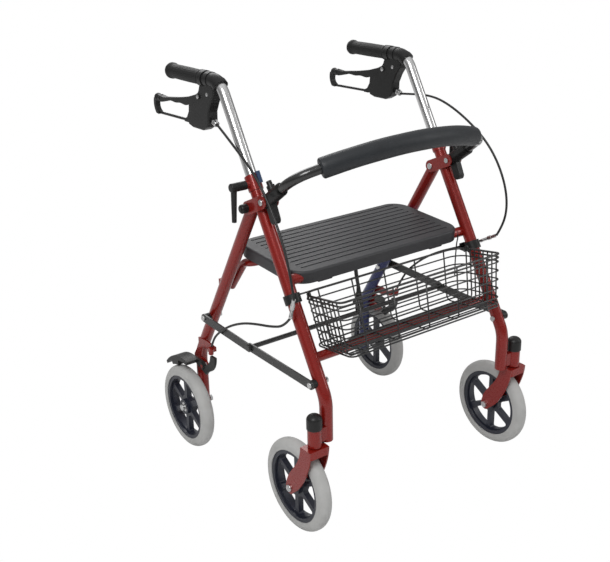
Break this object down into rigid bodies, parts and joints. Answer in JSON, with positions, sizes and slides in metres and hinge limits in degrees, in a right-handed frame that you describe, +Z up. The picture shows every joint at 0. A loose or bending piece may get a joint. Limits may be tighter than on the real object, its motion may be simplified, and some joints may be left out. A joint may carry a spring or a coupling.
{
  "type": "rollator walker",
  "caption": "Folding walker on wheels with height-adjustable handles, loop cable brakes, a flip-up seat, a hinged padded backrest and a wire basket.",
  "frame": {"origin": "on the floor, under the middle of the overall box", "axes": "+X to the pushing person's left, +Y backwards towards that person, +Z up; the walker faces -Y"},
  "size_m": [0.5928, 0.6286, 0.85],
  "materials": {
    "red_paint": "deep red gloss paint",
    "black_plastic": "satin black",
    "navy_plastic": "navy",
    "hub_plastic": "satin navy black",
    "bolt_steel": "zinc plated",
    "handle_alloy": "polished",
    "tyre_grey": "light grey",
    "brace_steel": "dark grey satin",
    "basket_wire": "black coated wire",
    "backrest_steel": "gloss black",
    "seat_plastic": "dark grey, satin",
    "foam": "soft foam",
    "grip_rubber": "matt black",
    "webbing": "woven",
    "cable_casing": "satin black"
  },
  "bodies": {
    "front_frame": {"front_leg_left": "red_paint", "front_leg_right": "red_paint", "lower_crossbar": "red_paint", "seat_crossbar": "red_paint", "caster_housings": "red_paint", "caster_caps": "black_plastic", "caster_bearings": "bolt_steel", "pivot_brackets": "red_paint", "pivot_caps": "black_plastic", "frame_bolts_front": "bolt_steel", "handle_collars": "red_paint", "cable_guides": "navy_plastic", "basket_clips": "black_plastic", "brace_spacers_front": "black_plastic", "brake_cable_upper_left": "cable_casing", "brake_cable_upper_right": "cable_casing", "brake_cables_lower": "cable_casing"},
    "rear_frame": {"rear_leg_left": "red_paint", "rear_leg_right": "red_paint", "seat_support_tube": "red_paint", "rear_axles": "bolt_steel", "rear_wheel_bearings": "bolt_steel", "brace_spacers_rear": "black_plastic", "frame_hardware_rear": "bolt_steel", "brake_stops": "red_paint"},
    "seat": {"seat_shell": "seat_plastic"},
    "braces_front": {"braces_front": "brace_steel", "cross_rod": "brace_steel", "lift_strap": "webbing"},
    "braces_rear": {"braces_rear": "brace_steel"},
    "backrest": {"backrest_brackets": "black_plastic", "backrest_tube": "backrest_steel", "backrest_pad": "foam"},
    "basket": {"basket": "basket_wire"},
    "caster_left": {"caster_fork_left": "red_paint", "front_axle_left": "bolt_steel"},
    "wheel_front_left": {"tyre_front_left": "tyre_grey", "hub_front_left": "hub_plastic"},
    "wheel_rear_left": {"tyre_rear_left": "tyre_grey", "hub_rear_left": "hub_plastic"},
    "brake_arm_left": {"brake_arm_left": "black_plastic"},
    "handle_left": {"handle_tube_left": "handle_alloy", "grip_left": "grip_rubber", "brake_housing_left": "black_plastic"},
    "brake_lever_left": {"brake_lever_left": "black_plastic"},
    "clamp_left": {"clamp_lever_left": "black_plastic"},
    "backrest_button_left": {"backrest_button_left": "black_plastic"},
    "caster_right": {"caster_fork_right": "red_paint", "front_axle_right": "bolt_steel"},
    "wheel_front_right": {"tyre_front_right": "tyre_grey", "hub_front_right": "hub_plastic"},
    "wheel_rear_right": {"tyre_rear_right": "tyre_grey", "hub_rear_right": "hub_plastic"},
    "brake_arm_right": {"brake_arm_right": "black_plastic"},
    "handle_right": {"handle_tube_right": "handle_alloy", "grip_right": "grip_rubber", "brake_housing_right": "black_plastic"},
    "brake_lever_right": {"brake_lever_right": "black_plastic"},
    "clamp_right": {"clamp_lever_right": "black_plastic"},
    "backrest_button_right": {"backrest_button_right": "black_plastic"}
  },
  "joints": [
    {"name": "frame_fold", "type": "hinge", "parent": "front_frame", "child": "rear_frame", "pos_m": [0, -0.04892, 0.6105], "axis": [-1, 0, 0], "range_deg": [0, 22], "deforming": ["brake_cables_lower", "lift_strap"]},
    {"name": "brace_front_swing", "type": "hinge", "parent": "front_frame", "child": "braces_front", "pos_m": [0, -0.25012, 0.3195], "axis": [1, 0, 0], "range_deg": [0, 33.28]},
    {"name": "brace_rear_swing", "type": "hinge", "parent": "rear_frame", "child": "braces_rear", "pos_m": [0, 0.12258, 0.328], "axis": [-1, 0, 0], "range_deg": [0, 39.36]},
    {"name": "seat_flip", "type": "hinge", "parent": "front_frame", "child": "seat", "pos_m": [0, -0.14192, 0.485], "axis": [1, 0, 0], "range_deg": [0, 92]},
    {"name": "backrest_fold", "type": "hinge", "parent": "front_frame", "child": "backrest", "pos_m": [0, -0.09892, 0.633], "axis": [-1, 0, 0], "range_deg": [0, 45]},
    {"name": "basket_lift", "type": "slide", "parent": "front_frame", "child": "basket", "axis": [0, 0, 1], "range_m": [0, 0.01]},
    {"name": "caster_swivel_left", "type": "hinge", "parent": "front_frame", "child": "caster_left", "pos_m": [0.2682, -0.27332, 0.2], "axis": [0, 0, 1], "continuous": true},
    {"name": "wheel_front_spin_left", "type": "hinge", "parent": "caster_left", "child": "wheel_front_left", "pos_m": [0.2682, -0.21932, 0.095], "axis": [1, 0, 0], "continuous": true},
    {"name": "wheel_rear_spin_left", "type": "hinge", "parent": "rear_frame", "child": "wheel_rear_left", "pos_m": [0.2769, 0.18938, 0.095], "axis": [1, 0, 0], "continuous": true},
    {"name": "handle_height_left", "type": "slide", "parent": "front_frame", "child": "handle_left", "axis": [0, 0.5022, 0.8648], "range_m": [-0.05, 0.12], "deforming": ["brake_cable_upper_left"]},
    {"name": "clamp_turn_left", "type": "hinge", "parent": "front_frame", "child": "clamp_left", "pos_m": [0.236, -0.05392, 0.657], "axis": [1, 0, 0], "range_deg": [0, 150]},
    {"name": "brake_squeeze_left", "type": "hinge", "parent": "handle_left", "child": "brake_lever_left", "pos_m": [0.236, 0.11408, 0.798], "axis": [1, 0, 0], "range_deg": [0, 12], "stiffness_Nm_per_rad": 4, "springref_deg": -2.86},
    {"name": "brake_press_left", "type": "hinge", "parent": "rear_frame", "child": "brake_arm_left", "pos_m": [0.254, 0.14608, 0.205], "axis": [-1, 0, 0], "range_deg": [0, 2.5]},
    {"name": "backrest_button_press_left", "type": "slide", "parent": "backrest", "child": "backrest_button_left", "axis": [0, -0.5, -0.866], "range_m": [0, 0.0025], "stiffness_N_per_m": 400, "springref_m": -0.001},
    {"name": "caster_swivel_right", "type": "hinge", "parent": "front_frame", "child": "caster_right", "pos_m": [-0.2682, -0.27332, 0.2], "axis": [0, 0, 1], "continuous": true},
    {"name": "wheel_front_spin_right", "type": "hinge", "parent": "caster_right", "child": "wheel_front_right", "pos_m": [-0.2682, -0.21932, 0.095], "axis": [1, 0, 0], "continuous": true},
    {"name": "wheel_rear_spin_right", "type": "hinge", "parent": "rear_frame", "child": "wheel_rear_right", "pos_m": [-0.2769, 0.18938, 0.095], "axis": [1, 0, 0], "continuous": true},
    {"name": "handle_height_right", "type": "slide", "parent": "front_frame", "child": "handle_right", "axis": [0, 0.5022, 0.8648], "range_m": [-0.05, 0.12], "deforming": ["brake_cable_upper_right"]},
    {"name": "clamp_turn_right", "type": "hinge", "parent": "front_frame", "child": "clamp_right", "pos_m": [-0.236, -0.05392, 0.657], "axis": [1, 0, 0], "range_deg": [0, 150]},
    {"name": "brake_squeeze_right", "type": "hinge", "parent": "handle_right", "child": "brake_lever_right", "pos_m": [-0.236, 0.11408, 0.798], "axis": [1, 0, 0], "range_deg": [0, 12], "stiffness_Nm_per_rad": 4, "springref_deg": -2.86},
    {"name": "brake_press_right", "type": "hinge", "parent": "rear_frame", "child": "brake_arm_right", "pos_m": [-0.254, 0.14608, 0.205], "axis": [-1, 0, 0], "range_deg": [0, 2.5]},
    {"name": "backrest_button_press_right", "type": "slide", "parent": "backrest", "child": "backrest_button_right", "axis": [0, -0.5, -0.866], "range_m": [0, 0.0025], "stiffness_N_per_m": 400, "springref_m": -0.001}
  ],
  "couplings": [
    {"joint": "brace_front_swing", "follows": "frame_fold", "ratio": 1.5118},
    {"joint": "brace_rear_swing", "follows": "frame_fold", "ratio": 1.7882},
    {"joint": "brake_press_left", "follows": "brake_squeeze_left", "ratio": 0.20833},
    {"joint": "brake_press_right", "follows": "brake_squeeze_right", "ratio": 0.20833}
  ]
}
